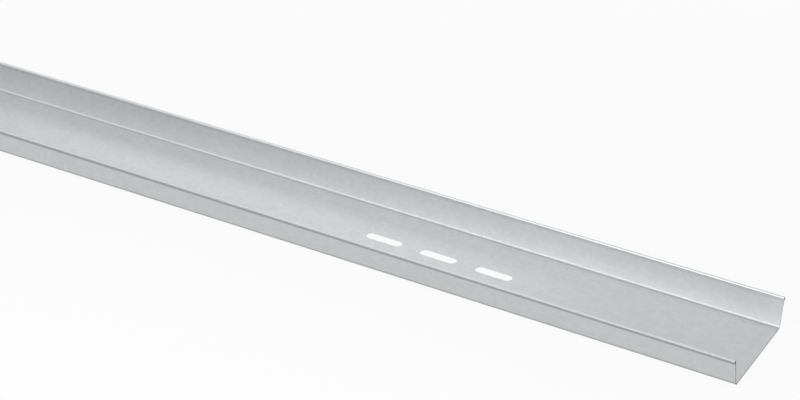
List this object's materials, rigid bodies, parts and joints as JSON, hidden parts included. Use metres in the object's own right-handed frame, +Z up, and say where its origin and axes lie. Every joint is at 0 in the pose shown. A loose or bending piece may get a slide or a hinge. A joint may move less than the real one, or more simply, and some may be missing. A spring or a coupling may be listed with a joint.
{
  "type": "cable trunking",
  "caption": "Shallow open channel of folded zinc-coated sheet steel with leaning walls, hemmed top edges and fixing slots in its base, for laying cables in.",
  "frame": {"origin": "middle of the underside of the base, on the surface that the trunking lies on", "axes": "+X along the stock, +Y across it towards one wall, +Z up out of the open side"},
  "size_m": [2, 0.0784, 0.021],
  "materials": {
    "zinc_coated_steel": "satin zinc coating on cold-rolled strip, with bare sheared edges"
  },
  "bodies": {
    "root": {"trunking": "zinc_coated_steel"}
  },
  "joints": []
}
